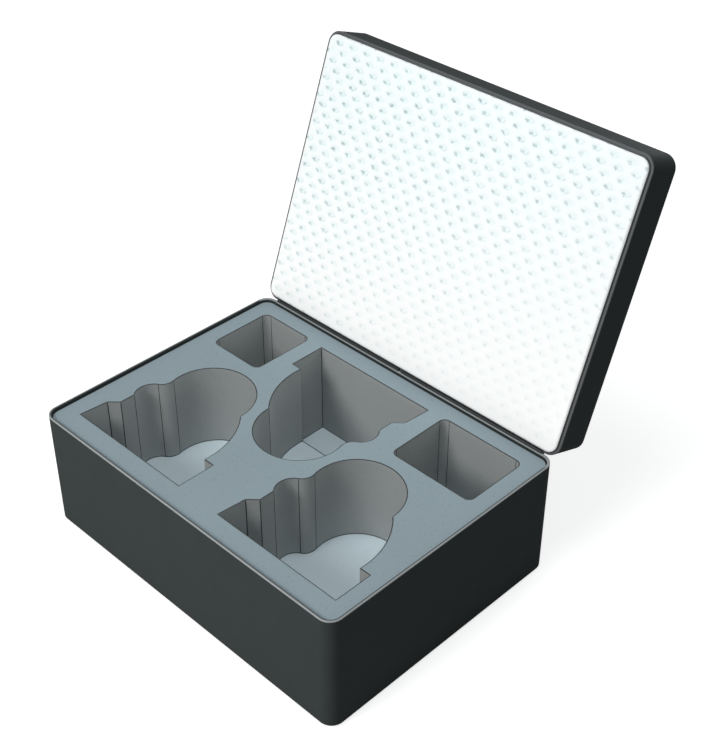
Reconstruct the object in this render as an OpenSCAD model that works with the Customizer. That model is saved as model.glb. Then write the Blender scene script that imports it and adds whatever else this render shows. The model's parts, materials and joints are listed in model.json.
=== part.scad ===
// Hard case for three binoculars: a foam-filled base tray and a padded lid on two long stop hinges.
// Millimetres, Z up, X along the hinge side, the front faces -Y, origin on the floor under the base's middle.

/* [Case] */
// Length of the case along its hinge side
case_l = 460; // [450:1:520]
// Width of the case from front to back
case_w = 340; // [334:1:400]
// Height of the base from its underside to its rim
base_h = 150; // [142:1:200]
// Height of the lid from its rim to its top
lid_h = 46; // [34:1:80]
// Outer radius of the upright corners
corner_r = 16; // [10:0.5:24]
// Wall thickness of both shells
wall = 3; // [2.8:0.1:4]
// Thickness of the base's floor
floor_t = 3.5; // [3:0.1:6]
// Thickness of the lid's top
top_t = 3; // [2:0.1:5]
// Rounding of the edge between wall and floor, and wall and top
edge_r = 1.5; // [0.5:0.1:2.5]
// Angle at which the hinges stop the open lid
open_angle = 110; // [95:1:125]
// Gap between the two rims when the lid is shut
closed_gap = 0.3; // [0.1:0.05:0.6]

/* [Rim trim] */
// Thickness of the trim's head on the wall's edge
trim_t = 1.2; // [0.8:0.1:2]
// Rounding of the head's two upper edges
trim_round = 0.4; // [0.1:0.05:0.6]
// Thickness of the stem in the wall's slot
stem_t = 1; // [0.6:0.1:1.2]
// Depth of the stem in the wall's slot
stem_h = 2.5; // [1.5:0.1:4]
// Clearance round the stem
stem_gap = 0.05; // [0.02:0.01:0.1]

/* [Foam] */
// Distance from the base's rim down to the foam
foam_recess = 4; // [3:0.1:8]
// Clearance between foam and walls
foam_gap = 0.3; // [0.2:0.05:0.8]
// Depth of the pockets, which is the thickness of the foam block
pocket_depth = 109; // [80:1:112]
// How much deeper the strip along each binocular's straight edge is
strip_depth = 13; // [6:1:22]
// Thickness of the lid's pad
pad_t = 6; // [5.5:0.1:9]
// How far the pad stands out of the lid's rim
pad_proud = 3.6; // [0:0.1:3.7]
// Clearance between the pad and the rim that it enters
pad_gap = 0.8; // [0.5:0.1:1.5]
// Rounding of the pad's front edge
pad_round = 1.5; // [0.5:0.1:2.5]

/* [Binocular pockets] */
// Length of the straight edge, where the prism housings lie
prism_l = 172; // [164:1:176]
// Width of the deeper strip along the straight edge
prism_w = 46.5; // [40:0.5:50]
// How far the strip's slanted end leans in
lean = 3; // [0:0.5:6]
// Length of the bevel between the slanted end and the shoulder
shoulder_bevel = 9; // [4:0.5:12]
// Distance of the shoulder from the strip's slanted end
shoulder_x = 14; // [12:0.5:18]
// Radius of the round end, for the objective barrels
dome_r = 52.7; // [48:0.1:54]
// Place of the round end's centre along the straight edge
dome_x = 76.5; // [72:0.5:80]
// Distance of the round end's centre from the straight edge
dome_y = 125; // [120:0.5:126]
// Radius of the long curve from the notch to the round end
flank_r = 97; // [92:0.5:102]
// Place of the long curve's centre along the straight edge
flank_x = 61.5; // [58:0.5:64]
// Distance of the long curve's centre from the straight edge
flank_y = 54.4; // [50:0.2:60]
// Radius of the bulge for the focus wheel
bulge_r = 20; // [16:0.5:22]
// Place of the bulge's centre along the straight edge
bulge_x = 28; // [26:0.5:32]
// Distance of the bulge's centre from the straight edge
bulge_y = 79; // [74:0.5:84]
// Radius of the hollow waist between the bulge and the round end
waist_r = 16; // [8:0.5:24]
// Foam left of the front left pocket
margin_left = 24.5; // [12:0.5:30]
// Foam right of the front right pocket
margin_right = 21.5; // [12:0.5:30]
// Foam in front of the two front pockets
margin_front = 28.6; // [20:0.2:32]
// Foam behind the back pocket
margin_back = 25.2; // [18:0.2:30]
// Distance of the back pocket's right end from the case's middle
back_pocket_x = 68.7; // [62:0.1:72]

/* [Accessory pockets] */
// Foam between the left accessory pocket and the back pocket
web_left = 24.2; // [12:0.1:40]
// Foam between the back pocket and the right accessory pocket
web_right = 23.3; // [12:0.1:40]
// Width of both accessory pockets
accessory_w = 85.5; // [60:0.5:88]
// Radius of their upright corners
accessory_r = 7.5; // [4:0.5:16]
// Foam at the short wall beside each of them
accessory_side = 23.5; // [16:0.5:30]
// Foam behind both of them
accessory_back = 22.5; // [16:0.5:30]

/* [Hinges] */
// Distance of the hinges' outer ends from the case's ends
hinge_inset = 20; // [18:1:60]
// Distance between the two hinges
hinge_apart = 6; // [4:1:60]
// Thickness of the leaves
leaf_t = 1.2; // [1:0.1:1.6]
// Height of each leaf below or above the pin
leaf_h = 24; // [21:0.5:28]
// Outer radius of the knuckles
knuckle_r = 2.2; // [1.9:0.1:2.4]
// Number of knuckles on each hinge
knuckles = 13; // [5:2:17]
// Gap between neighbouring knuckles
knuckle_gap = 0.3; // [0.1:0.05:0.6]
// Radius of the hinge pin
pin_r = 1; // [0.8:0.1:1.2]
// Running clearance of the pin in the knuckles
pin_gap = 0.05; // [0.02:0.01:0.1]
// Distance of the pin outside the back wall's face
pin_out = 0.5; // [0.2:0.1:0.9]
// Clearance round the knuckles in the rims
rebate_gap = 0.25; // [0.15:0.05:0.3]
// Distance of the stop lips from the pin
lip_at = 5; // [4:0.2:7]
// Clearance between the two stop lips of the open lid
lip_gap = 0.04; // [0.02:0.01:0.1]
// Radius of the rivets
rivet_r = 2; // [1.5:0.1:2.5]
// Number of rivets in each leaf
rivets = 5; // [3:1:7]
// Distance of the rivets from the pin
rivet_at = 16; // [13:0.5:18]
// Clearance round the rivets
rivet_gap = 0.05; // [0.02:0.01:0.1]
// How much wider the rivets' countersunk ends are than their shanks
rivet_flare = 1.2; // [0.6:0.1:1.6]
// Thickness of the pins' heads
pin_head_t = 0.8; // [0.5:0.1:1.2]
// How far the pins' heads stand out round the pins
pin_head_out = 0.7; // [0.4:0.1:0.8]
// Clearance between the pins' heads and the knuckles
pin_end_gap = 0.1; // [0.05:0.05:0.2]

/* [Catch magnets] */
// Length of each magnet
magnet_l = 20; // [12:0.5:24]
// Width of each magnet
magnet_w = 8; // [6:0.5:9]
// Thickness of each magnet
magnet_t = 4; // [2:0.1:4.5]
// Distance of the magnets from the case's ends
magnet_inset = 120; // [80:1:150]
// Clearance round the magnets
magnet_gap = 0.1; // [0.05:0.05:0.3]
// Foam over the base's magnets
magnet_cover = 2; // [1:0.1:4]
// Wall of the posts that carry the base's magnets
post_wall = 1.5; // [1:0.1:2.5]

/* [Feet] */
// Radius of the rubber feet
foot_r = 9; // [6:0.5:14]
// How far the feet stand out of the underside
foot_h = 2.5; // [1.5:0.1:5]
// How deep the feet are let into the floor
foot_sink = 1; // [0.5:0.1:1.5]
// Distance of the feet from the case's sides
foot_inset = 35; // [25:1:60]
// Clearance round the feet
foot_gap = 0.1; // [0.05:0.05:0.2]

/* [Hidden] */
$fn = 96;

shell_colour = "#3d4242";
trim_colour = "#aab2b5";
foam_colour = "#8a989e";
pad_colour = "#f6fbfb";
hinge_colour = "#202224";
magnet_colour = "#9aa0a3";
rubber_colour = "#1d1f20";

rim_z = foot_h + base_h;
lid_rim_z = rim_z + closed_gap;
foam_top = rim_z - foam_recess;
floor_z = foot_h + floor_t;
pocket_floor = foam_top - pocket_depth;
strip_floor = pocket_floor - strip_depth;
inner_l = case_l - 2 * wall;
inner_w = case_w - 2 * wall;
inner_r = corner_r - wall;
overcut = 1;

left_l = inner_l / 2 - accessory_side - web_left + back_pocket_x - prism_l;
right_l = inner_l / 2 - accessory_side - web_right - back_pocket_x;

hinge_l = case_l / 2 - hinge_inset - hinge_apart / 2;
hinge_x = (hinge_apart + hinge_l) / 2;
pin_y = case_w / 2 + pin_out;
pin_z = rim_z + closed_gap / 2;
leaf_back = -pin_out;
leaf_face = leaf_back + leaf_t;
leaf_edge = knuckle_r + knuckle_gap;
rebate_l = hinge_l + 2 * (pin_head_t + pin_end_gap + rebate_gap);
rivet_head_r = 1.8 * rivet_r;
rivet_head_h = 0.75 * rivet_r;
rivet_pitch = (hinge_l - 8 * rivet_r) / (rivets - 1);

magnet_x = case_l / 2 - magnet_inset;
post_top = foam_top - magnet_cover;
post_l = magnet_l + 2 * (magnet_gap + post_wall);
post_w = magnet_w + 2 * (magnet_gap + post_wall);
magnet_y = -inner_w / 2 + post_w / 2;

// A rectangle with round corners, centred.
module rounded_rect(l, w, r) {
    square([l - 2 * r, w], center = true);
    square([l, w - 2 * r], center = true);
    for (x = [-1, 1], y = [-1, 1])
        translate([x * (l / 2 - r), y * (w / 2 - r)]) circle(r);
}

// Carries a section round a rounded rectangle. Its x runs outwards from the corner centres, its y upwards.
module carried_round(l, w, r) {
    for (i = [0:3]) {
        out = i % 2 == 0 ? l : w;
        along = i % 2 == 0 ? w : l;
        rotate([0, 0, 90 * i]) translate([out / 2 - r, along / 2 - r, 0]) {
            rotate_extrude(angle = 90) children();
            rotate([90, 0, 0]) linear_extrude(along - 2 * r) children();
        }
    }
}

// The corner of a slab in section: w wide, h high, its lower outer edge rounded.
module edge_section(w, h, round) {
    square([w - round, h]);
    translate([0, round]) square([w, h - round]);
    translate([w - round, round]) circle(round);
}

// A slab with round corners and a rounded lower edge, standing on z = 0.
module rounded_slab(l, w, h, r, round) {
    carried_round(l, w, r) edge_section(r, h, round);
    translate([-(l / 2 - r), -(w / 2 - r), 0]) cube([l - 2 * r, w - 2 * r, h]);
}

// One half of the case as moulded: an open tray with a slot in its wall's edge for the trim's stem.
module tray(h, bottom_t) {
    slot_w = stem_t + 2 * stem_gap;
    slot_h = stem_h + stem_gap;
    carried_round(case_l, case_w, corner_r) difference() {
        edge_section(corner_r, h, edge_r);
        translate([-overcut, bottom_t]) square([inner_r + overcut, h]);
        translate([corner_r - wall / 2 - slot_w / 2, h - slot_h]) square([slot_w, h]);
    }
    translate([-(case_l / 2 - corner_r), -(case_w / 2 - corner_r), 0])
        cube([case_l - 2 * corner_r, case_w - 2 * corner_r, bottom_t]);
}

// The trim's T: a rounded head on the wall's edge and a stem in the slot, seated at z = 0.
module trim_ring() {
    carried_round(case_l, case_w, corner_r) {
        translate([corner_r - wall, 0]) {
            square([wall, trim_t - trim_round]);
            translate([trim_round, 0]) square([wall - 2 * trim_round, trim_t]);
            for (x = [trim_round, wall - trim_round])
                translate([x, trim_t - trim_round]) circle(trim_round);
        }
        translate([corner_r - wall / 2 - stem_t / 2, -stem_h]) square([stem_t, stem_h + trim_t / 2]);
    }
}

// Swings what is drawn on the shut case open about the hinge pins.
module opened() {
    translate([0, pin_y, pin_z]) rotate([-open_angle, 0, 0]) translate([0, -pin_y, -pin_z]) children();
}

// The rims' recesses round the knuckles, on both sides of the pin.
module hinge_rebates() {
    size = knuckle_r + rebate_gap;
    for (side = [-1, 1])
        translate([side * hinge_x - rebate_l / 2, pin_y - size, pin_z - size])
            cube([rebate_l, size + overcut, 2 * size]);
}

// Puts a section drawn about the pin, x outwards and y up, along the hinge.
module along_hinge(start, length) {
    translate([start, pin_y, pin_z]) rotate([90, 0, 90]) linear_extrude(length) children();
}

// Places its child at each rivet of one hinge, pointing out of the back wall; up is -1 or 1.
module at_rivets(side, up) {
    first = side * hinge_x - (rivets - 1) / 2 * rivet_pitch;
    for (i = [0:rivets - 1])
        translate([first + i * rivet_pitch, case_w / 2, pin_z + up * rivet_at])
            rotate([-90, 0, 0]) children();
}

// A rivet's body, or with a gap the hole that it needs: countersunk inside the wall.
module rivet_body(gap, reach) {
    translate([0, 0, -wall]) cylinder(r = rivet_r + gap, h = wall + reach);
    translate([0, 0, -wall]) cylinder(r1 = rivet_r + gap + rivet_flare, r2 = rivet_r + gap, h = rivet_flare);
}

module rivet() {
    dome = (rivet_head_r * rivet_head_r + rivet_head_h * rivet_head_h) / (2 * rivet_head_h);
    rivet_body(0, leaf_t + rivet_head_h / 2);
    translate([0, 0, leaf_t]) intersection() {
        translate([0, 0, rivet_head_h - dome]) sphere(dome);
        cylinder(r = rivet_head_r + overcut, h = rivet_head_h + overcut);
    }
}

module hinge_rivets(up) {
    color(hinge_colour) for (side = [-1, 1]) at_rivets(side, up) rivet();
}

// One leaf of a hinge: plate, stop lip and every second knuckle; up is -1 for the base and 1 for the lid.
module hinge_leaf(side, up) {
    start = side * hinge_x - hinge_l / 2;
    pitch = (hinge_l + knuckle_gap) / knuckles;
    first = up < 0 ? 0 : 1;
    lip_end = lip_at + leaf_t;
    slope = tan((180 - open_angle) / 2);
    color(hinge_colour) difference() {
        union() {
            along_hinge(start, hinge_l) for_half(up) {
                translate([leaf_back, leaf_edge]) square([leaf_t, leaf_h - leaf_edge]);
                polygon([[0, lip_at], [lip_at * slope - lip_gap, lip_at],
                         [lip_end * slope - lip_gap, lip_end], [0, lip_end]]);
            }
            for (i = [first:2:knuckles - 1])
                along_hinge(start + i * pitch, pitch - knuckle_gap) {
                    circle(knuckle_r);
                    for_half(up) translate([leaf_back, 0]) square([leaf_t, leaf_edge + leaf_t]);
                }
        }
        along_hinge(start - overcut, hinge_l + 2 * overcut) circle(pin_r + pin_gap);
        at_rivets(side, up) translate([0, 0, -overcut])
            cylinder(r = rivet_r + rivet_gap, h = leaf_t + 2 * overcut);
    }
}

// Turns a hinge's section, drawn for the lid's half, over for the base's half.
module for_half(up) {
    mirror([0, up < 0 ? 1 : 0]) children();
}

module hinge_pin(side) {
    reach = hinge_l / 2 + pin_end_gap;
    color(hinge_colour) translate([side * hinge_x, pin_y, pin_z]) rotate([0, 90, 0]) {
        cylinder(r = pin_r, h = 2 * reach + pin_head_t, center = true);
        for (end = [-1, 1])
            translate([0, 0, end * (reach + pin_head_t / 2)])
                cylinder(r = pin_r + pin_head_out, h = pin_head_t, center = true);
    }
}

// The outline of a binocular laid flat, its straight edge on the x axis.
module binocular_outline() {
    bulge = [bulge_x, bulge_y];
    dome = [dome_x, dome_y];
    reach_bulge = bulge_r + waist_r;
    reach_dome = dome_r + waist_r;
    apart = norm(dome - bulge);
    along = (reach_bulge * reach_bulge - reach_dome * reach_dome + apart * apart) / (2 * apart);
    across = sqrt(reach_bulge * reach_bulge - along * along);
    toward = (dome - bulge) / apart;
    waist = bulge + along * toward + across * [-toward[1], toward[0]];
    lean_end = prism_w - shoulder_bevel - lean;
    polygon([[0, 0], [prism_l, 0], [prism_l, prism_w], [shoulder_x, prism_w],
             [shoulder_x, prism_w - lean / 2], [lean, lean_end]]);
    translate(bulge) circle(bulge_r);
    translate(dome) circle(dome_r);
    intersection() {
        translate([flank_x, flank_y]) circle(flank_r);
        translate([dome_x, 0]) square([prism_l, dome_y]);
    }
    difference() {
        polygon([[shoulder_x, 0], [shoulder_x, bulge_y], bulge, waist, dome, [dome_x, 0]]);
        translate(waist) circle(waist_r);
    }
}

// Places its child, drawn on the binocular outline's own axes, at the three binocular pockets.
module at_binoculars() {
    translate([-inner_l / 2 + margin_left, -inner_w / 2 + margin_front]) children();
    translate([inner_l / 2 - margin_right - prism_l, -inner_w / 2 + margin_front]) children();
    translate([back_pocket_x, inner_w / 2 - margin_back]) rotate(180) children();
}

module accessory_outlines() {
    y = inner_w / 2 - accessory_back - accessory_w / 2;
    translate([-inner_l / 2 + accessory_side + left_l / 2, y])
        rounded_rect(left_l, accessory_w, accessory_r);
    translate([inner_l / 2 - accessory_side - right_l / 2, y])
        rounded_rect(right_l, accessory_w, accessory_r);
}

// The strip below the prism housings, which goes deeper than the rest of the pocket.
module strip_outline() {
    intersection() {
        binocular_outline();
        square([prism_l, prism_w]);
    }
}

// Places its child at the base's two magnet posts.
module at_posts() {
    for (side = [-1, 1]) translate([side * magnet_x, magnet_y]) children();
}

// A sheet of foam that fills the base, slotted round the magnet posts.
module foam_sheet(z, t) {
    translate([0, 0, z]) linear_extrude(t) difference() {
        rounded_rect(inner_l - 2 * foam_gap, inner_w - 2 * foam_gap, inner_r - foam_gap);
        at_posts() translate([0, -overcut / 2])
            square([post_l + 2 * foam_gap, post_w + 2 * foam_gap + overcut], center = true);
        children();
    }
}

module base_shell() {
    color(shell_colour) difference() {
        union() {
            translate([0, 0, foot_h]) tray(base_h - trim_t, floor_t);
            at_posts() translate([-post_l / 2, -post_w / 2 - wall / 2, floor_z - floor_t / 2])
                cube([post_l, post_w + wall / 2, post_top - floor_z + floor_t / 2]);
        }
        at_posts() translate([-magnet_l / 2 - magnet_gap, -magnet_w / 2 - magnet_gap, post_top - magnet_t])
            cube([magnet_l + 2 * magnet_gap, magnet_w + 2 * magnet_gap, magnet_t + overcut]);
        at_feet() cylinder(r = foot_r + foot_gap, h = foot_h + foot_sink);
        hinge_rebates();
        for (side = [-1, 1]) at_rivets(side, -1) rivet_body(rivet_gap, overcut);
    }
}

module base_rim_trim() {
    color(trim_colour) difference() {
        translate([0, 0, rim_z - trim_t]) trim_ring();
        hinge_rebates();
    }
}

module foam_bottom_sheet() {
    color(foam_colour) foam_sheet(floor_z, strip_floor - floor_z);
}

module foam_step_sheet() {
    color(foam_colour) foam_sheet(strip_floor, strip_depth) at_binoculars() strip_outline();
}

module foam_block() {
    slot_top = post_top + foam_gap;
    color(foam_colour) {
        foam_sheet(pocket_floor, slot_top - pocket_floor) pocket_outlines();
        translate([0, 0, slot_top]) linear_extrude(foam_top - slot_top) difference() {
            rounded_rect(inner_l - 2 * foam_gap, inner_w - 2 * foam_gap, inner_r - foam_gap);
            pocket_outlines();
        }
    }
}

module pocket_outlines() {
    at_binoculars() binocular_outline();
    accessory_outlines();
}

module base_catch_magnets() {
    color(magnet_colour) at_posts() translate([-magnet_l / 2, -magnet_w / 2, post_top - magnet_t])
        cube([magnet_l, magnet_w, magnet_t]);
}

module at_feet() {
    for (x = [-1, 1], y = [-1, 1])
        translate([x * (case_l / 2 - foot_inset), y * (case_w / 2 - foot_inset), 0]) children();
}

// A rubber foot with a rounded sole, let into the floor.
module foot(x, y) {
    sole_round = min(foot_h, foot_r) / 2;
    color(rubber_colour) translate([x * (case_l / 2 - foot_inset), y * (case_w / 2 - foot_inset), 0])
        rotate_extrude() edge_section(foot_r, foot_h + foot_sink, sole_round);
}

module lid_shell() {
    color(shell_colour) opened() difference() {
        translate([0, 0, lid_rim_z + lid_h]) mirror([0, 0, 1]) tray(lid_h - trim_t, top_t);
        hinge_rebates();
        for (side = [-1, 1]) at_rivets(side, 1) rivet_body(rivet_gap, overcut);
    }
}

module lid_rim_trim() {
    color(trim_colour) opened() difference() {
        translate([0, 0, lid_rim_z + trim_t]) mirror([0, 0, 1]) trim_ring();
        hinge_rebates();
    }
}

module lid_foam_filler() {
    pad_back = lid_rim_z + pad_t - pad_proud;
    color(foam_colour) opened() translate([0, 0, pad_back])
        linear_extrude(lid_rim_z + lid_h - top_t - pad_back)
            rounded_rect(inner_l - 2 * foam_gap, inner_w - 2 * foam_gap, inner_r - foam_gap);
}

module lid_foam_pad() {
    gap = magnet_gap + foam_gap;
    color(pad_colour) opened() translate([0, 0, lid_rim_z - pad_proud]) difference() {
        rounded_slab(inner_l - 2 * pad_gap, inner_w - 2 * pad_gap, pad_t, inner_r - pad_gap, pad_round);
        at_posts() translate([-magnet_l / 2 - gap, -magnet_w / 2 - gap, pad_t - magnet_t])
            cube([magnet_l + 2 * gap, magnet_w + 2 * gap, magnet_t + overcut]);
    }
}

module lid_catch_magnets() {
    color(magnet_colour) opened() translate([0, 0, lid_rim_z - pad_proud + pad_t - magnet_t])
        at_posts() translate([-magnet_l / 2, -magnet_w / 2, 0]) cube([magnet_l, magnet_w, magnet_t]);
}

base_shell();
base_rim_trim();
foam_bottom_sheet();
foam_step_sheet();
foam_block();
foot(-1, -1);  // foot_front_left
foot(1, -1);  // foot_front_right
foot(-1, 1);  // foot_rear_left
foot(1, 1);  // foot_rear_right
base_catch_magnets();
hinge_leaf(-1, -1);  // hinge_base_leaf_left
hinge_leaf(1, -1);  // hinge_base_leaf_right
hinge_pin(-1);  // hinge_pin_left
hinge_pin(1);  // hinge_pin_right
hinge_rivets(-1);  // base_hinge_rivets
lid_shell();
lid_rim_trim();
lid_foam_filler();
lid_foam_pad();
lid_catch_magnets();
opened() hinge_leaf(-1, 1);  // hinge_lid_leaf_left
opened() hinge_leaf(1, 1);  // hinge_lid_leaf_right
opened() hinge_rivets(1);  // lid_hinge_rivets
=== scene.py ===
import json
import math
from functools import partial

import bmesh
import bpy
from mathutils import Matrix, Vector
from mathutils.geometry import intersect_point_line


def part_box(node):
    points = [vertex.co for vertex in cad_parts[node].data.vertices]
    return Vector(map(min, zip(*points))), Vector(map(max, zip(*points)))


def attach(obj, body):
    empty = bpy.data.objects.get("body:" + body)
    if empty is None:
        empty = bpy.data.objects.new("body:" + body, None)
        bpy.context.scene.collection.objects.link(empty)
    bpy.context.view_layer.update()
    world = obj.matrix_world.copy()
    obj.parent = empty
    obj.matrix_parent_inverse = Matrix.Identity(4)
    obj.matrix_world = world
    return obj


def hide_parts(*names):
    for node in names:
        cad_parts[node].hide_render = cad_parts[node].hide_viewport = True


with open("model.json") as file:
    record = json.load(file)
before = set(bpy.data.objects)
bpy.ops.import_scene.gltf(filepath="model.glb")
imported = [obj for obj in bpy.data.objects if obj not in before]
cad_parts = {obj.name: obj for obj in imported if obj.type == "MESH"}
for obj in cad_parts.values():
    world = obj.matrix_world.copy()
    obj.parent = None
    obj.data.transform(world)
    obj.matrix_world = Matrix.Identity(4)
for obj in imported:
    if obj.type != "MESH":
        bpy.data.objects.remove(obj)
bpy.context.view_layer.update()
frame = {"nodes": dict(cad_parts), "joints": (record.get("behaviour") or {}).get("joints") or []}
nodes = frame["nodes"]
scene = bpy.context.scene
print("frame loaded:", len(nodes), "solids")


def wire(tree, node, values):
    # each value is for the socket itself, or another node's output
    for key, value in dict(values).items():
        if isinstance(value, bpy.types.NodeSocket):
            tree.links.new(value, node.inputs[key])
        else:
            node.inputs[key].default_value = value


def addNode(tree, kind, values=(), **settings):
    node = tree.nodes.new(kind)
    for key, value in settings.items():
        setattr(node, key, value)
    wire(tree, node, values)
    return node


def addMath(tree, operation, *values):
    return addNode(tree, "ShaderNodeMath", enumerate(values), operation=operation).outputs[0]


def addVectorMath(tree, operation, *values):
    node = addNode(tree, "ShaderNodeVectorMath", enumerate(values), operation=operation)
    return node.outputs["Value" if operation in ("DOT_PRODUCT", "LENGTH") else "Vector"]


def addRamp(tree, value, start, end, low, high, kind="SMOOTHSTEP"):
    values = {"Value": value, "From Min": start, "From Max": end, "To Min": low, "To Max": high}
    return addNode(tree, "ShaderNodeMapRange", values, interpolation_type=kind).outputs[0]


def addMix(tree, factor, low, high):
    # low and high are colours, or outputs that carry one
    low, high = (c if isinstance(c, bpy.types.NodeSocket) else (*c, 1) for c in (low, high))
    mix = addNode(tree, "ShaderNodeMix", {"Factor": factor, "A": low, "B": high}, data_type="RGBA")
    return mix.outputs["Result"]


def addBump(tree, height, strength, distance):
    values = {"Height": height, "Strength": strength, "Distance": distance}
    return addNode(tree, "ShaderNodeBump", values).outputs["Normal"]


# where the camera stands and its own three directions; the lens and the sensor are in millimetres
view = {
    "place": (0.893563, -0.806321, 1.128937),
    "right": (0.71129275, 0.70288966, 0.0029589),
    "down": (0.41825396, -0.4198635, -0.80546773),
    "forward": (-0.5649126, 0.57416093, -0.59263225),
    "lens": 68.717,
    "sensor": 36,
    "clip": (0.05, 60),
}


def addCamera():
    data = bpy.data.cameras.new("camera")
    data.sensor_fit = "AUTO"
    data.sensor_width = view["sensor"]
    data.lens = view["lens"]
    data.clip_start, data.clip_end = view["clip"]
    camera = bpy.data.objects.new("camera", data)
    x, y, z = Vector(view["right"]), -Vector(view["down"]), -Vector(view["forward"])
    turn = Matrix((x, y, z)).transposed().to_4x4()
    camera.matrix_world = Matrix.Translation(view["place"]) @ turn
    scene.collection.objects.link(camera)
    scene.camera = camera


lamps = {
    "key": {"place": (-0.33, -2.3, 1.85), "size": 1.1, "power": 38, "colour": (1.0, 0.985, 0.965)},
    "low": {"place": (-0.3, -1.5, 0.12), "size": 0.2, "power": 7.2, "colour": (1.0, 0.99, 0.98)},
    "top": {"place": (0.15, -0.05, 1.5), "size": 0.45, "power": 5.6, "colour": (0.95, 0.975, 1.0)},
    "back": {"place": (-0.4, 2.7, 0.35), "size": 1.2, "power": 20, "colour": (0.97, 0.985, 1.0)},
}
studio = {
    "aim": (0, 0.05, 0.15),  # every lamp looks at the middle of the case
    "ambient": (0.82, 0.84, 0.85),
    "ambientStrength": 0.31,
    "floor": (0.6, 0.605, 0.605),
    "floorRadius": 9,
    "floorGlow": 0.76,
    "farGlow": 0.95,  # far from the part the floor runs out into the white background
    "farFrom": (1.2, 4.0),
}


def addLight(name, lamp):
    data = bpy.data.lights.new(name, "AREA")
    data.shape = "DISK"
    data.size = lamp["size"]
    data.energy = lamp["power"]
    data.color = lamp["colour"]
    light = bpy.data.objects.new(name, data)
    place = Vector(lamp["place"])
    aim = Vector(studio["aim"]) - place
    light.matrix_world = Matrix.Translation(place) @ aim.to_track_quat("-Z", "Y").to_matrix().to_4x4()
    scene.collection.objects.link(light)


def clearTree(owner):
    owner.use_nodes = True
    owner.node_tree.nodes.clear()
    return owner.node_tree


def setWorld():
    # soft light for the part, plain white for what the camera and its reflections see
    world = bpy.data.worlds.new("studio")
    tree = clearTree(world)
    ambient = {"Color": (*studio["ambient"], 1), "Strength": studio["ambientStrength"]}
    soft = addNode(tree, "ShaderNodeBackground", ambient)
    white = addNode(tree, "ShaderNodeBackground", {"Color": (1, 1, 1, 1)})
    rays = addNode(tree, "ShaderNodeLightPath").outputs
    seen = rays["Is Camera Ray"]
    for ray in ("Is Glossy Ray", "Is Transmission Ray"):
        seen = addMath(tree, "MAXIMUM", seen, rays[ray])
    mix = addNode(tree, "ShaderNodeMixShader", {0: seen, 1: soft.outputs[0], 2: white.outputs[0]})
    addNode(tree, "ShaderNodeOutputWorld", {0: mix.outputs[0]})
    scene.world = world


def addFloor():
    bm = bmesh.new()
    bmesh.ops.create_circle(bm, cap_ends=True, segments=64, radius=studio["floorRadius"])
    mesh = bpy.data.meshes.new("floor")
    bm.to_mesh(mesh)
    bm.free()
    floor = bpy.data.objects.new("floor", mesh)
    scene.collection.objects.link(floor)
    material = bpy.data.materials.new("studioFloor")
    tree = clearTree(material)
    plain = addNode(tree, "ShaderNodeBsdfDiffuse", {"Color": (*studio["floor"], 1)}).outputs[0]
    away = addVectorMath(tree, "LENGTH", addNode(tree, "ShaderNodeTexCoord").outputs["Object"])
    rise = addRamp(tree, away, *studio["farFrom"], studio["floorGlow"], studio["farGlow"])
    glow = addNode(tree, "ShaderNodeEmission", {"Strength": rise}).outputs[0]
    both = addNode(tree, "ShaderNodeAddShader", {0: plain, 1: glow}).outputs[0]
    seen = addNode(tree, "ShaderNodeLightPath").outputs["Is Camera Ray"]
    mix = addNode(tree, "ShaderNodeMixShader", {0: seen, 1: plain, 2: both})
    addNode(tree, "ShaderNodeOutputMaterial", {0: mix.outputs[0]})
    mesh.materials.append(material)


addCamera()
setWorld()
for name, lamp in lamps.items():
    addLight(name, lamp)
addFloor()
scene.view_settings.view_transform = "Standard"
print("camera and studio ready")


def startGroup(name, numbers, gives):
    # takes a place and numbers with their usual values, gives numbers
    group = bpy.data.node_groups.new(name, "ShaderNodeTree")
    group.interface.new_socket("Vector", in_out="INPUT", socket_type="NodeSocketVector")
    for label, value in numbers.items():
        socket = group.interface.new_socket(label, in_out="INPUT", socket_type="NodeSocketFloat")
        socket.default_value = value
    for label in gives:
        group.interface.new_socket(label, in_out="OUTPUT", socket_type="NodeSocketFloat")
    return group, addNode(group, "NodeGroupInput").outputs, addNode(group, "NodeGroupOutput")


def startMaterial(name, values):
    material = bpy.data.materials.new(name)
    material.use_nodes = True
    tree = material.node_tree
    shader = tree.nodes["Principled BSDF"]
    wire(tree, shader, values)
    return material, tree, shader, addNode(tree, "ShaderNodeTexCoord").outputs["Object"]


# moulded plastic and rubber: a fine grain over slow unevenness in relief, tone and gloss
plasticGrain = {
    "size": 900.0,
    "mottle": 30.0,
    "fine": {"Detail": 3.0, "Roughness": 0.6},
    "slow": {"Detail": 4.0, "Roughness": 0.55},
    "slowShare": 0.3,
    "mottleSpan": (0.3, 0.7),
    "roughSpread": 0.05,
    "strength": 0.25,
    "height": 0.0002,
}


def makeGrain():
    numbers = {"Size": plasticGrain["size"], "Mottle": plasticGrain["mottle"]}
    group, given, result = startGroup("mouldGrain", numbers, ("Height", "Mottle"))
    place = given["Vector"]
    fine = {"Vector": place, "Scale": given["Size"], **plasticGrain["fine"]}
    fine = addNode(group, "ShaderNodeTexNoise", fine).outputs["Fac"]
    slow = {"Vector": place, "Scale": given["Mottle"], **plasticGrain["slow"]}
    slow = addNode(group, "ShaderNodeTexNoise", slow).outputs["Fac"]
    relief = addMath(group, "MULTIPLY_ADD", slow, plasticGrain["slowShare"], fine)
    wire(group, result, {"Height": relief, "Mottle": slow})
    return group


# closed cells of cut polyethylene foam: small pits, a few larger pores and cloudy colour
foamCells = {
    "cells": 700.0,
    "pores": 160.0,
    "cloud": {"Scale": 9.0, "Detail": 3.0},
    "pit": (0.05, 0.22),
    "pitDepth": -0.8,
    "poreShare": 0.35,
    "strength": 0.35,
    "height": 0.0004,
}


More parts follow.
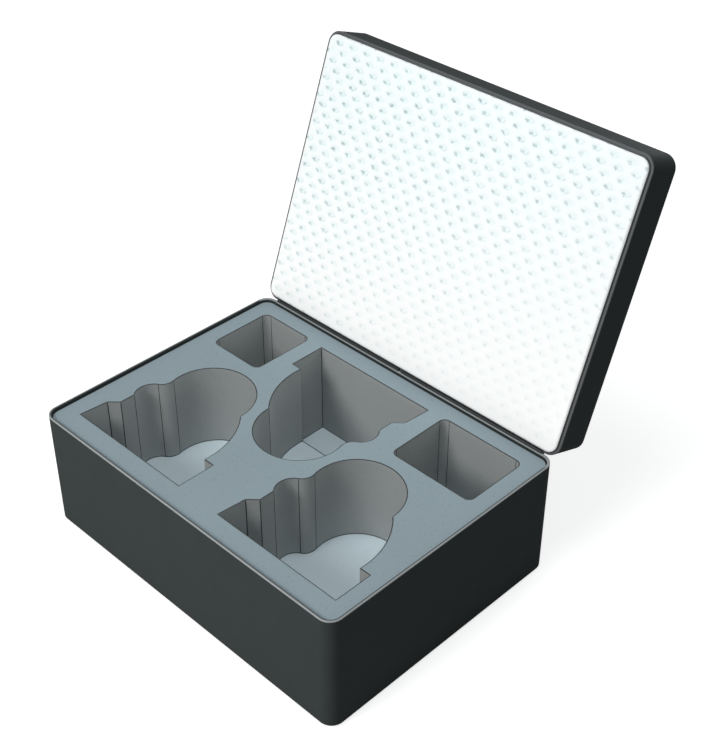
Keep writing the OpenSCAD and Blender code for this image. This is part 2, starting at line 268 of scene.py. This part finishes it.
def makeFoamCells():
    numbers = {"Cells": foamCells["cells"], "Pores": foamCells["pores"]}
    group, given, result = startGroup("foamCells", numbers, ("Height", "Pore", "Cloud"))
    place = given["Vector"]
    cells = {"Vector": place, "Scale": given["Cells"]}
    cells = addNode(group, "ShaderNodeTexVoronoi", cells, feature="SMOOTH_F1").outputs["Distance"]
    pores = {"Vector": place, "Scale": given["Pores"]}
    pores = addNode(group, "ShaderNodeTexVoronoi", pores).outputs["Distance"]
    cloud = addNode(group, "ShaderNodeTexNoise", {"Vector": place, **foamCells["cloud"]}).outputs["Fac"]
    pit = addRamp(group, pores, *foamCells["pit"], 1.0, 0.0, "LINEAR")
    relief = addMath(group, "MULTIPLY_ADD", pit, foamCells["pitDepth"], cells)
    wire(group, result, {"Height": relief, "Pore": pit, "Cloud": cloud})
    return group


grainGroup = makeGrain()
foamGroup = makeFoamCells()


def mouldedPlastic(name, dark, light, rough, size=None, strength=None, gloss=0.25):
    material, tree, shader, place = startMaterial(name, {"Specular IOR Level": gloss})
    values = {"Vector": place, "Size": size or plasticGrain["size"]}
    grain = addNode(tree, "ShaderNodeGroup", values, node_tree=grainGroup).outputs
    mottle, span, spread = grain["Mottle"], plasticGrain["mottleSpan"], plasticGrain["roughSpread"]
    strength = strength or plasticGrain["strength"]
    wire(tree, shader, {
        "Base Color": addMix(tree, mottle, dark, light),
        "Roughness": addRamp(tree, mottle, *span, rough - spread, rough + spread, "LINEAR"),
        "Normal": addBump(tree, grain["Height"], strength, plasticGrain["height"]),
    })
    return material


def cutFoam(name, low, high, pore):
    material, tree, shader, place = startMaterial(name, {"Roughness": 0.85, "Specular IOR Level": 0.25})
    foam = addNode(tree, "ShaderNodeGroup", {"Vector": place}, node_tree=foamGroup).outputs
    pores = addMath(tree, "MULTIPLY", foam["Pore"], foamCells["poreShare"])
    wire(tree, shader, {
        "Base Color": addMix(tree, pores, addMix(tree, foam["Cloud"], low, high), pore),
        "Normal": addBump(tree, foam["Height"], foamCells["strength"], foamCells["height"]),
    })
    return material


# the pad's hollows lie on a slanted lattice
padLattice = {
    "start": (0.003, 0.007),
    "pitch": 0.02186,  # from one to the next in a row
    "row": 0.01074,  # from row to row
    "shift": -0.0089,  # of each row
}

# a mark of painted shade on the skin, the shaded wall of its hollow, in millimetres from its hollow's middle: a
# slanting stroke that runs on into a paler cup
padShadeMark = {
    "cup": (5.2, 3.9),
    "cupRise": 1.7,
    "cupEdge": (0.03, 0.4),  # the line's own softness, as shares of the cup's size
    "cupTop": (-0.4, 2.6),  # the line fades upwards
    "cupSide": (-3.5, 1.5),  # and to the right
    "cupTail": (0.1, 0.6),  # down to this share, from mark to mark
    "stroke": (3.6, 2.1),
    "strokeAt": (-2.6, -0.3),
    "strokeLean": (0.8, 0.6),
    "strokeEdge": (0.15, 1.05),
    "strength": (0.65, 1.0),  # from mark to mark
    "noise": {"Scale": 320.0, "Detail": 3.5, "Roughness": 0.62},
    "wobble": 6.0,
    "patches": (-0.16, 0.1, 0.45, 1.0),  # patches where the painted shade is weaker: the noise's span, and what it leaves of the mark
    "fadeWay": (0.45, -1.0, 0),  # marks and hollows fade along this way, in metres, from one share to another
    "fade": (-0.20, 0.24, 1.15, 0.15),
    "paintedLightWay": (0.12, -1.0, 0),  # and so does the skin's tone, which is painted light and shade: darker up the pad, lighter down it
    "tone": (-0.24, 0.24, 0.0, 1.0),
}


def addEllipse(tree, x, y, size):
    # distance from the middle, 1 on the outline
    squares = []
    for value, half in zip((x, y), size):
        share = addMath(tree, "DIVIDE", value, half)
        squares.append(addMath(tree, "MULTIPLY", share, share))
    return addMath(tree, "SQRT", addMath(tree, "ADD", *squares))


def makePadShadeMarks():
    # all in the pad's own plane
    group, given, result = startGroup("padShadeMarks", {}, ("PaintedShadeMark", "Fade", "PaintedLight"))
    calc, ramp = partial(addMath, group), partial(addRamp, group)
    dot = partial(addVectorMath, group, "DOT_PRODUCT")
    pitch, row, shift = (padLattice[k] for k in ("pitch", "row", "shift"))
    plane = given["Vector"]
    moved = addVectorMath(group, "SUBTRACT", plane, (*padLattice["start"], 0))
    across, up = dot(moved, (1 / pitch, -shift / (row * pitch), 0)), dot(moved, (0, 1 / row, 0))
    lattice = addNode(group, "ShaderNodeCombineXYZ", {"X": across, "Y": up}).outputs[0]
    evenly = {"Vector": lattice, "Scale": 1.0, "Randomness": 0.0}
    cell = addNode(group, "ShaderNodeTexVoronoi", evenly, voronoi_dimensions="2D").outputs
    chance = addNode(group, "ShaderNodeSeparateXYZ", {0: cell["Color"]}).outputs
    offset = addVectorMath(group, "SUBTRACT", lattice, cell["Position"])

    # millimetres from the hollow's middle, a little shaken
    noise = addNode(group, "ShaderNodeTexNoise", {"Vector": plane, **padShadeMark["noise"]})
    shake = addVectorMath(group, "SUBTRACT", noise.outputs["Color"], (0.5, 0.5, 0.5))
    wobble = padShadeMark["wobble"]
    x = calc("ADD", dot(offset, (pitch * 1000, shift * 1000, 0)), dot(shake, (wobble, 0, 0)))
    y = calc("ADD", dot(offset, (0, row * 1000, 0)), dot(shake, (0, wobble, 0)))

    outline = addEllipse(group, x, calc("SUBTRACT", y, padShadeMark["cupRise"]), padShadeMark["cup"])
    cup = ramp(calc("ABSOLUTE", calc("SUBTRACT", outline, 1.0)), *padShadeMark["cupEdge"], 1.0, 0.0)
    cup = calc("MULTIPLY", cup, ramp(y, *padShadeMark["cupTop"], 1.0, 0.0))
    tail = ramp(chance[1], 0.0, 1.0, *padShadeMark["cupTail"])
    side = ramp(x, *padShadeMark["cupSide"], 1.0, 0.0)
    cup = calc("MULTIPLY", cup, calc("MAXIMUM", side, tail))

    atX, atY = padShadeMark["strokeAt"]
    fromX, fromY = calc("SUBTRACT", x, atX), calc("SUBTRACT", y, atY)
    run, fall = padShadeMark["strokeLean"]
    along = calc("SUBTRACT", calc("MULTIPLY", fromX, run), calc("MULTIPLY", fromY, fall))
    over = calc("ADD", calc("MULTIPLY", fromX, fall), calc("MULTIPLY", fromY, run))
    stroke = ramp(addEllipse(group, along, over, padShadeMark["stroke"]), *padShadeMark["strokeEdge"], 1.0, 0.0)

    mark = calc("MAXIMUM", cup, stroke)
    mark = calc("MULTIPLY", mark, ramp(chance[0], 0.0, 1.0, *padShadeMark["strength"]))
    mark = calc("MULTIPLY", mark, ramp(dot(shake, (0, 0, 1)), *padShadeMark["patches"]))
    wire(group, result, {
        "PaintedShadeMark": mark,
        "Fade": ramp(dot(plane, padShadeMark["fadeWay"]), *padShadeMark["fade"]),
        "PaintedLight": ramp(dot(plane, padShadeMark["paintedLightWay"]), *padShadeMark["tone"]),
    })
    return group


padSkin = {
    "top": (0.82, 0.86, 0.865),  # painted shade at the pad's top as the lid stands open, painted light at its bottom
    "bottom": (0.985, 0.985, 0.98),
    "paintedHollowShade": (0.72, 0.86, 0.865),  # painted shade, cool and darker, in and round a hollow
    "paintedHollowShadeSpread": 0.55,
    "paintedHollowShadeShare": 0.62,
    # painted shade: the colour of the marks on the hollows' shaded walls
    "mark": (0.35, 0.44, 0.46),
    "cells": 1100.0,
    "strength": 0.2,
    "height": 0.0002,
}


def padFace(name):
    # white skin with cool painted shade in the hollows and greyer marks of painted shade at their bottoms
    material, tree, shader, place = startMaterial(name, {"Roughness": 0.8, "Specular IOR Level": 0.2})
    plane, hollow = (addNode(tree, "ShaderNodeAttribute", attribute_name=a) for a in ("plane", "hollow"))
    values = {"Vector": plane.outputs["Vector"]}
    marks = addNode(tree, "ShaderNodeGroup", values, node_tree=makePadShadeMarks()).outputs
    # painted shade spread through each hollow, weaker where the pattern fades
    wide = addMath(tree, "POWER", hollow.outputs["Fac"], padSkin["paintedHollowShadeSpread"])
    paintedHollowShade = addMath(tree, "MULTIPLY", wide, addMath(tree, "MULTIPLY", marks["Fade"], padSkin["paintedHollowShadeShare"]))
    # the marks of painted shade, fading as the pattern does
    mark = addMath(tree, "MULTIPLY", marks["PaintedShadeMark"], marks["Fade"])
    # painted light and shade: the skin runs from a darker top to a lighter bottom
    skin = addMix(tree, marks["PaintedLight"], padSkin["top"], padSkin["bottom"])
    skin = addMix(tree, paintedHollowShade, skin, padSkin["paintedHollowShade"])
    skin = addMix(tree, mark, skin, padSkin["mark"])
    values = {"Vector": place, "Cells": padSkin["cells"]}
    foam = addNode(tree, "ShaderNodeGroup", values, node_tree=foamGroup)
    bump = addBump(tree, foam.outputs["Height"], padSkin["strength"], padSkin["height"])
    wire(tree, shader, {"Base Color": skin, "Normal": bump})
    return material


# the dark sealing line along the inner edge of the base's trim, at the front and the sides
rimSeal = {
    "outline": (0.46, 0.34),
    "corner": 0.016,
    "inside": 0.0017,
    "soft": 0.0001,
    "end": (0.152, 0.156),
    "colour": (0.03, 0.032, 0.033),
}


def sealedTrim(name, dark, light, rough):
    material = mouldedPlastic(name, dark, light, rough)
    tree = material.node_tree
    shader = tree.nodes["Principled BSDF"]
    place = addNode(tree, "ShaderNodeTexCoord").outputs["Object"]
    corner = rimSeal["corner"]
    straight = tuple(side / 2 - corner for side in rimSeal["outline"]) + (0,)
    past = addVectorMath(tree, "SUBTRACT", addVectorMath(tree, "ABSOLUTE", place), straight)
    past = addVectorMath(tree, "MULTIPLY", addVectorMath(tree, "MAXIMUM", past, (0, 0, 0)), (1, 1, 0))
    depth = addMath(tree, "SUBTRACT", corner, addVectorMath(tree, "LENGTH", past))
    edge, soft = rimSeal["inside"], rimSeal["soft"]
    seal = addRamp(tree, depth, edge - soft, edge + soft, 0.0, 1.0)
    back = addVectorMath(tree, "DOT_PRODUCT", place, (0, 1, 0))
    seal = addMath(tree, "MULTIPLY", seal, addRamp(tree, back, *rimSeal["end"], 1.0, 0.0))
    plain = shader.inputs["Base Color"].links[0].from_socket
    wire(tree, shader, {"Base Color": addMix(tree, seal, plain, rimSeal["colour"])})
    return material


steelBrush = {
    "stretch": (40, 1800, 1800),
    "detail": 2.0,
    "shade": 0.85,
    "rough": (0.28, 0.48),
    "strength": 0.15,
    "height": 0.00005,
}


def brushedSteel(name, tone):
    material, tree, shader, place = startMaterial(name, {"Metallic": 1.0})
    stretch = addNode(tree, "ShaderNodeMapping", {"Vector": place, "Scale": steelBrush["stretch"]})
    values = {"Vector": stretch.outputs["Vector"], "Scale": 1.0, "Detail": steelBrush["detail"]}
    brush = addNode(tree, "ShaderNodeTexNoise", values).outputs["Fac"]
    wire(tree, shader, {
        "Base Color": addMix(tree, brush, tuple(c * steelBrush["shade"] for c in tone), tone),
        "Roughness": addRamp(tree, brush, 0.0, 1.0, *steelBrush["rough"], "LINEAR"),
        "Normal": addBump(tree, brush, steelBrush["strength"], steelBrush["height"]),
    })
    return material


shellTones = (0.0355, 0.0415, 0.0415), (0.0435, 0.051, 0.051)

finishes = {
    "shell": mouldedPlastic("shellPlastic", *shellTones, 0.68, gloss=0.015),
    "baseTrim": sealedTrim("baseTrimPlastic", (0.29, 0.31, 0.315), (0.33, 0.35, 0.355), 0.5),
    # painted shade: the lid's trim is a darker copy of the base trim's plastic, toned down for the light that
    # falls on it as the lid stands open
    "lidTrimPaintedShade": mouldedPlastic("lidTrimPlasticPaintedShade", (0.07, 0.076, 0.079), (0.092, 0.098, 0.102), 0.55),
    "rubber": mouldedPlastic("footRubber", (0.012, 0.013, 0.013), (0.022, 0.023, 0.023), 0.75, 500.0, 0.4),
    "hinge": mouldedPlastic("hingeCoating", (0.020, 0.022, 0.023), (0.030, 0.032, 0.033), 0.42, 1600.0, 0.15),
    "nickel": brushedSteel("magnetNickel", (0.6, 0.59, 0.56)),
    "foamTop": cutFoam("foamSkin", (0.26, 0.33, 0.36), (0.295, 0.37, 0.405), (0.15, 0.19, 0.21)),
    "foamWall": cutFoam("foamCutWall", (0.355, 0.375, 0.375), (0.395, 0.415, 0.415), (0.2, 0.21, 0.21)),
    # painted light: the pocket floors' foam is coloured far lighter than the top's, to make up for the shade at
    # the bottom of the deep pockets
    "foamFloorPaintedLight": cutFoam("foamFloorSkinPaintedLight", (0.64, 0.76, 0.81), (0.7, 0.81, 0.86), (0.46, 0.54, 0.57)),
    "burnt": cutFoam("foamCutEdge", (0.035, 0.04, 0.042), (0.05, 0.055, 0.058), (0.03, 0.03, 0.03)),
    "pad": padFace("padFace"),
    "padBack": cutFoam("padBack", (0.14, 0.15, 0.155), (0.17, 0.18, 0.185), (0.08, 0.09, 0.09)),
}

cadFinish = {
    "shell": ("base_shell", "lid_shell"),
    "baseTrim": ("base_rim_trim",),
    "lidTrimPaintedShade": ("lid_rim_trim",),
    "rubber": ("foot_front_left", "foot_front_right", "foot_rear_left", "foot_rear_right"),
    "hinge": (
        "hinge_base_leaf_left", "hinge_base_leaf_right", "base_hinge_rivets", "hinge_pin_left", "hinge_pin_right",
        "hinge_lid_leaf_left", "hinge_lid_leaf_right", "lid_hinge_rivets",
    ),
    "nickel": ("base_catch_magnets", "lid_catch_magnets"),
}
for finish, names in cadFinish.items():
    for name in names:
        slots = nodes[name].data.materials
        slots.clear()
        slots.append(finishes[finish])
print("finishes ready:", len(finishes))


# how near counts as the same place, in metres
near = {
    "weld": 1e-6,
    "level": 2e-5,
    "line": 0.0001,
    "join": 0.0002,
    "flat": 0.01,  # an angle
    "end": 0.001,  # a share of a line's length
}


def isUpright(face):
    return abs(face.normal.z) < 0.5


def facesUp(face):
    return face.normal.z > 0.9


def uprightEdges(bm):
    return [e for e in bm.edges if (e.verts[0].co.xy - e.verts[1].co.xy).length < near["level"]]


def mergedCopy(name, joins=()):
    # the solid's mesh without its triangles; upright edges at the joins are kept and marked
    bm = bmesh.new()
    bm.from_mesh(nodes[name].data)
    bmesh.ops.remove_doubles(bm, verts=bm.verts[:], dist=near["weld"])
    for edge in uprightEdges(bm):
        edge.seam = any((edge.verts[0].co.xy - j).length < near["join"] for j in joins)
    bmesh.ops.dissolve_limit(
        bm, angle_limit=near["flat"], verts=bm.verts[:], edges=bm.edges[:], delimit={"SEAM"}
    )
    return bm


def roundEdges(bm, edges, offset, steps):
    return bmesh.ops.bevel(
        bm, geom=edges, offset=offset, offset_type="OFFSET",
        affect="EDGES", segments=steps, profile=0.5, material=-1,
    )


def finishPiece(name, node, bm, body, looks, sharp=30):
    mesh = bpy.data.meshes.new(name)
    bm.to_mesh(mesh)
    bm.free()
    for look in looks:
        mesh.materials.append(finishes[look])
    mesh.shade_smooth()
    mesh.set_sharp_from_angle(angle=math.radians(sharp))
    piece = bpy.data.objects.new(name, mesh)
    scene.collection.objects.link(piece)
    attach(piece, body)
    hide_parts(node)


# the hot wire's traces
foamCut = {
    "band": 0.0012,  # the dark edge round a cut-out
    "sink": 0.0004,
    "foot": 0.0012,  # the same at the bottom of the walls
    "seam": 0.00045,
    "corner": 0.00065,  # a seam where the wall turns by more than cornerAngle
    "cornerAngle": 0.5,
}

# a sheet's materials, by their number
topLook, wallLook, burntLook = 0, 1, 2

# the binocular outline, its straight edge on the x axis, and its places in the base, as drawn or turned round
pocket = {
    "length": 0.172,
    "strip": 0.0465,
    "lean": (0.003, 0.0345),
    "bevel": (0.014, 0.045),
    "shoulder": 0.014,
    "dome": ((0.0765, 0.125), 0.0527),
    "flank": ((0.0615, 0.0544), 0.097),
    "bulge": ((0.028, 0.079), 0.020),
    "waist": 0.016,
    "places": ((-0.2025, -0.1384, 1), (0.0335, -0.1384, 1), (0.0687, 0.1418, -1)),
}
# the two rectangular cut-outs: left, right, front and back
accessory = {
    "corner": 0.0075,
    "places": ((-0.2035, -0.1275, 0.059, 0.1445), (0.092, 0.2035, 0.059, 0.1445)),
}


def circlesMeet(first, firstR, second, secondR, side):
    # the point where two circles cross, on the left (1) or right (-1) of the way from first to second
    a, b = Vector(first), Vector(second)
    apart = (b - a).length
    along = (firstR ** 2 - secondR ** 2 + apart ** 2) / (2 * apart)
    across = math.sqrt(firstR ** 2 - along ** 2)
    toward = (b - a) / apart
    return a + along * toward + side * across * Vector((-toward.y, toward.x))


def pocketJoins():
    # where two stretches of the outline meet: there the cutter paused and left a seam in the wall
    domeAt, domeR = pocket["dome"]
    flankAt, flankR = pocket["flank"]
    bulgeAt, bulgeR = pocket["bulge"]
    waistR, strip = pocket["waist"], pocket["strip"]
    waistAt = circlesMeet(bulgeAt, bulgeR + waistR, domeAt, domeR + waistR, 1)
    flankX = flankAt[0] + math.sqrt(flankR ** 2 - (strip - flankAt[1]) ** 2)
    bulgeY = bulgeAt[1] - math.sqrt(bulgeR ** 2 - (bulgeAt[0] - pocket["shoulder"]) ** 2)
    joins = [Vector(p) for p in (
        (0, 0), (pocket["length"], 0), (pocket["length"], strip), (flankX, strip),
        (pocket["shoulder"], bulgeY), pocket["bevel"], pocket["lean"],
    )]
    joins.append(circlesMeet(flankAt, flankR, domeAt, domeR, -1))
    for centre, radius in ((bulgeAt, bulgeR), (domeAt, domeR)):
        centre = Vector(centre)
        joins.append(centre + (waistAt - centre).normalized() * radius)
    placed = [Vector((x, y)) + turn * join for x, y, turn in pocket["places"] for join in joins]
    r = accessory["corner"]
    for left, right, front, back in accessory["places"]:
        placed += [Vector((x, y)) for x in (left, right) for y in (front + r, back - r)]
        placed += [Vector((x, y)) for x in (left + r, right - r) for y in (front, back)]
    return placed


def cutSeams(bm):
    seams = [e for e in uprightEdges(bm) if e.seam]
    corners = [e for e in seams if e.calc_face_angle(0) > foamCut["cornerAngle"]]
    flats = [e for e in seams if e not in corners]
    for edges, offset, steps in ((flats, foamCut["seam"], 1), (corners, foamCut["corner"], 3)):
        for face in roundEdges(bm, edges, offset, steps)["faces"]:
            if isUpright(face):
                face.material_index = burntLook
    return len(seams)


def wallLines(node, z):
    # where a sheet's upright faces end at the height z, seen from above
    mesh = nodes[node].data
    lines = []
    for polygon in mesh.polygons:
        if isUpright(polygon):
            ends = [mesh.vertices[i].co for i in polygon.vertices]
            ends = [end.xy for end in ends if abs(end.z - z) < near["level"]]
            if len(ends) == 2:
                lines.append(ends)
    return lines


def liesOn(lines, point):
    for start, end in lines:
        foot, share = intersect_point_line(point, start, end)
        if -near["end"] < share < 1 + near["end"] and (foot.xy - point).length < near["line"]:
            return True
    return False


def cutRim(bm, z, flush):
    # the hot wire leaves a narrow dark edge round every cut-out
    faces = [f for f in bm.faces if facesUp(f) and abs(f.calc_center_median().z - z) < near["level"]]
    made = bmesh.ops.inset_region(bm, faces=faces, thickness=foamCut["band"], use_even_offset=True)
    for face in made["faces"]:
        face.material_index = burntLook
    outline = {v for f in bm.faces if isUpright(f) for v in f.verts if abs(v.co.z - z) < near["level"]}
    outline = [v for v in outline if not liesOn(flush, v.co.xy)]
    bmesh.ops.translate(bm, verts=outline, vec=(0, 0, -foamCut["sink"]))


def markFoot(bm, z, flush):
    # the same edge at the bottom of the walls, except where the sheet below carries them on
    level = z + foamCut["foot"]
    everything = bm.verts[:] + bm.edges[:] + bm.faces[:]
    bmesh.ops.bisect_plane(bm, geom=everything, dist=near["weld"], plane_co=(0, 0, level), plane_no=(0, 0, 1))
    for face in bm.faces:
        middle = face.calc_center_median()
        if isUpright(face) and middle.z < level and not liesOn(flush, middle.xy):
            face.material_index = burntLook


def makeFoam(name, node, top, joins, above=None, below=None):
    # above and below are the sheets whose walls run on into this one's
    low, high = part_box(node)
    bm = mergedCopy(node, joins)
    bm.normal_update()
    for face in bm.faces:
        face.material_index = topLook if facesUp(face) else wallLook
    cutRim(bm, high.z, wallLines(above, high.z) if above else [])
    bm.normal_update()
    print(name, "seams:", cutSeams(bm))
    bm.normal_update()
    markFoot(bm, low.z, wallLines(below, low.z) if below else [])
    finishPiece(name, node, bm, "base", (top, "foamWall", "burnt"), 20)


joins = pocketJoins()
makeFoam("foamBlock", "foam_block", "foamTop", joins, below="foam_step_sheet")
makeFoam("foamStepSheet", "foam_step_sheet", "foamFloorPaintedLight", joins, above="foam_block")
makeFoam("foamBottomSheet", "foam_bottom_sheet", "foamFloorPaintedLight", joins)
print("base foam done")


hinge = frame["joints"][0]
openLid = (
    Matrix.Translation(hinge["pos_m"])
    @ Matrix.Rotation(-math.radians(hinge["range_deg"][1]), 4, "X")
    @ Matrix.Translation(-Vector(hinge["pos_m"]))
)

# drawn on the shut lid, where the pad's face looks down
lidPad = {
    "length": 0.4524,
    "width": 0.3324,
    "corner": 0.0122,
    "face": 0.1492,
    "thick": 0.006,
    "edge": 0.0015,
    "cell": 0.0017,
    "hollow": (0.0048, 0.0034),
    "hollowDepth": 0.0012,
    "plainEdge": 0.003,  # no hollows this near the edge
    "growIn": 0.004,  # and whole ones so much further in
    "shallowest": 0.3,
    "shareMiddle": 0.6,  # of the depth in the middle, which falls off along padShadeMark's fadeWay
    "shareSlope": 2,
}


def roundCorners(bm, length, width, corner):
    # squeezes the grid's square corners into round ones
    for v in bm.verts:
        over = [abs(c) - (half - corner) for c, half in ((v.co.x, length / 2), (v.co.y, width / 2))]
        if min(over) > 0:
            a, b = over[0] / corner, over[1] / corner
            a, b = a * math.sqrt(1 - b * b / 2), b * math.sqrt(1 - a * a / 2)
            v.co.x = math.copysign(length / 2 - corner + a * corner, v.co.x)
            v.co.y = math.copysign(width / 2 - corner + b * corner, v.co.y)


def edgeDistance(x, y, length, width, corner):
    a, b = abs(x) - (length / 2 - corner), abs(y) - (width / 2 - corner)
    return corner - math.hypot(max(a, 0), max(b, 0)) - min(max(a, b), 0)


def hollowAt(x, y):
    # how deep the pattern is here, from 0 to 1
    pitch, row, shift = (padLattice[k] for k in ("pitch", "row", "shift"))
    x, y = x - padLattice["start"][0], y - padLattice["start"][1]
    wide, high = lidPad["hollow"]
    deepest = 0
    for n in (math.floor(y / row), math.floor(y / row) + 1):
        along = x - n * shift
        across = along - round(along / pitch) * pitch
        reach = (across / wide) ** 2 + ((y - n * row) / high) ** 2
        deepest = max(deepest, math.exp(-reach))
    return deepest


def pressPad(bm):
    # rounds the face's edge, presses the hollows in, and notes both for the skin's pattern
    mark = bm.verts.layers.float.new("hollow")
    plane = bm.verts.layers.float_vector.new("plane")
    edge = lidPad["edge"]
    fadeX, fadeY = padShadeMark["fadeWay"][:2]
    for v in bm.verts:
        x, y = v.co.x, -v.co.y
        inside = edgeDistance(x, y, lidPad["length"], lidPad["width"], lidPad["corner"])
        fall = edge - math.sqrt(max(0, edge ** 2 - max(0, edge - inside) ** 2))
        grown = min(1, max(0, (inside - lidPad["plainEdge"]) / lidPad["growIn"]))
        v[plane] = (x, y, 0)
        v[mark] = hollowAt(x, y) * grown
        share = lidPad["shareMiddle"] - lidPad["shareSlope"] * (fadeX * x + fadeY * y)
        share = min(1, max(lidPad["shallowest"], share))
        v.co.z = fall + lidPad["hollowDepth"] * share * v[mark]


def makeLidPad():
    length, width = lidPad["length"], lidPad["width"]
    bm = bmesh.new()
    columns, rows = (round(side / lidPad["cell"]) for side in (length, width))
    bmesh.ops.create_grid(bm, x_segments=columns, y_segments=rows, size=0.5)
    bmesh.ops.scale(bm, vec=(length, width, 1), verts=bm.verts[:])
    roundCorners(bm, length, width, lidPad["corner"])
    pressPad(bm)
    outline = [e for e in bm.edges if e.is_boundary]
    made = bmesh.ops.extrude_edge_only(bm, edges=outline)["geom"]
    back = {g for g in made if isinstance(g, bmesh.types.BMVert)}
    for v in back:
        v.co.z = lidPad["thick"]
    rim = [g for g in made if isinstance(g, bmesh.types.BMEdge) and back.issuperset(g.verts)]
    behind = [g for g in made if isinstance(g, bmesh.types.BMFace)]
    for face in behind + bmesh.ops.contextual_create(bm, geom=rim)["faces"]:
        face.material_index = 1
    bmesh.ops.recalc_face_normals(bm, faces=bm.faces[:])
    bmesh.ops.transform(bm, matrix=openLid @ Matrix.Translation((0, 0, lidPad["face"])), verts=bm.verts[:])
    finishPiece("lidPad", "lid_foam_pad", bm, "lid", ("pad", "padBack"), 50)


lidFiller = {"edge": 0.0006, "sharp": 0.8}


def makeLidFiller():
    bm = mergedCopy("lid_foam_filler")
    sharp = [e for e in bm.edges if e.calc_face_angle(0) > lidFiller["sharp"]]
    roundEdges(bm, sharp, lidFiller["edge"], 2)
    finishPiece("lidFiller", "lid_foam_filler", bm, "lid", ("foamWall",))


makeLidPad()
makeLidFiller()
print("lid foam done")
